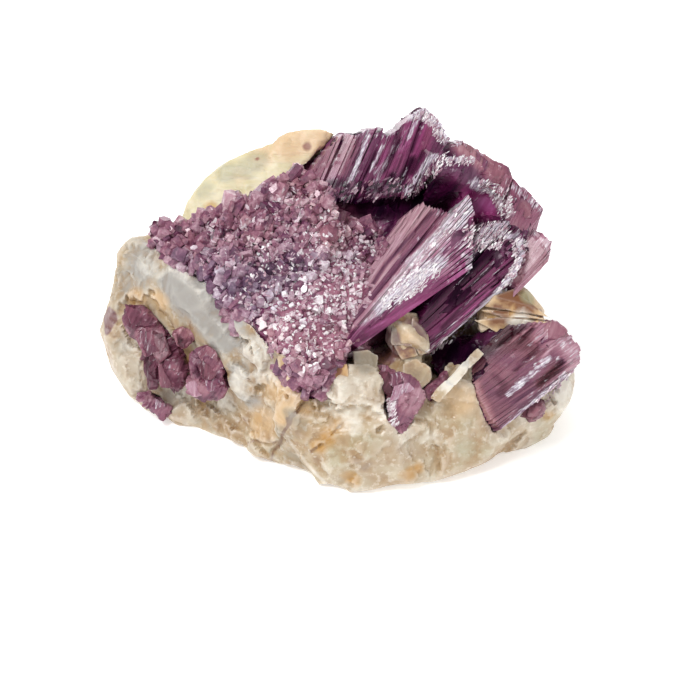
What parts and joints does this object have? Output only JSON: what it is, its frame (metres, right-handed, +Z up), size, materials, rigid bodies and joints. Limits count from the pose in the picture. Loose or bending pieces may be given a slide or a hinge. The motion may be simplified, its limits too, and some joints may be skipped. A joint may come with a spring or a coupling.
{
  "type": "raw lepidolite specimen",
  "caption": "Raw lepidolite hand specimen: a granular purple mica slab with books of bladed mica, grown in a pale albite and quartz rock with a flat base to stand on.",
  "frame": {"origin": "centre of the box around the specimen, at the flat base it stands on", "axes": "+X to the right and +Y away from the viewer who faces the broad granular slab, +Z up from the base"},
  "size_m": [0.0812, 0.0552, 0.0473],
  "materials": {
    "albite": "matte cleavage faces, slightly translucent",
    "feldspar": "smooth satin",
    "lepidolite": "pearly, glossy on cleavage faces"
  },
  "bodies": {
    "root": {"albite_matrix": "albite", "feldspar_crystal": "feldspar", "lepidolite_cluster": "lepidolite", "lepidolite_right_book": "lepidolite", "lepidolite_front_crystal": "lepidolite", "lepidolite_side_crystal": "lepidolite", "lepidolite_pocket_crystal": "lepidolite", "lepidolite_ledge_crystal": "lepidolite", "lepidolite_corner_crystal": "lepidolite", "lepidolite_gap_crystal": "lepidolite", "lepidolite_foot_crystal": "lepidolite"}
  },
  "joints": []
}
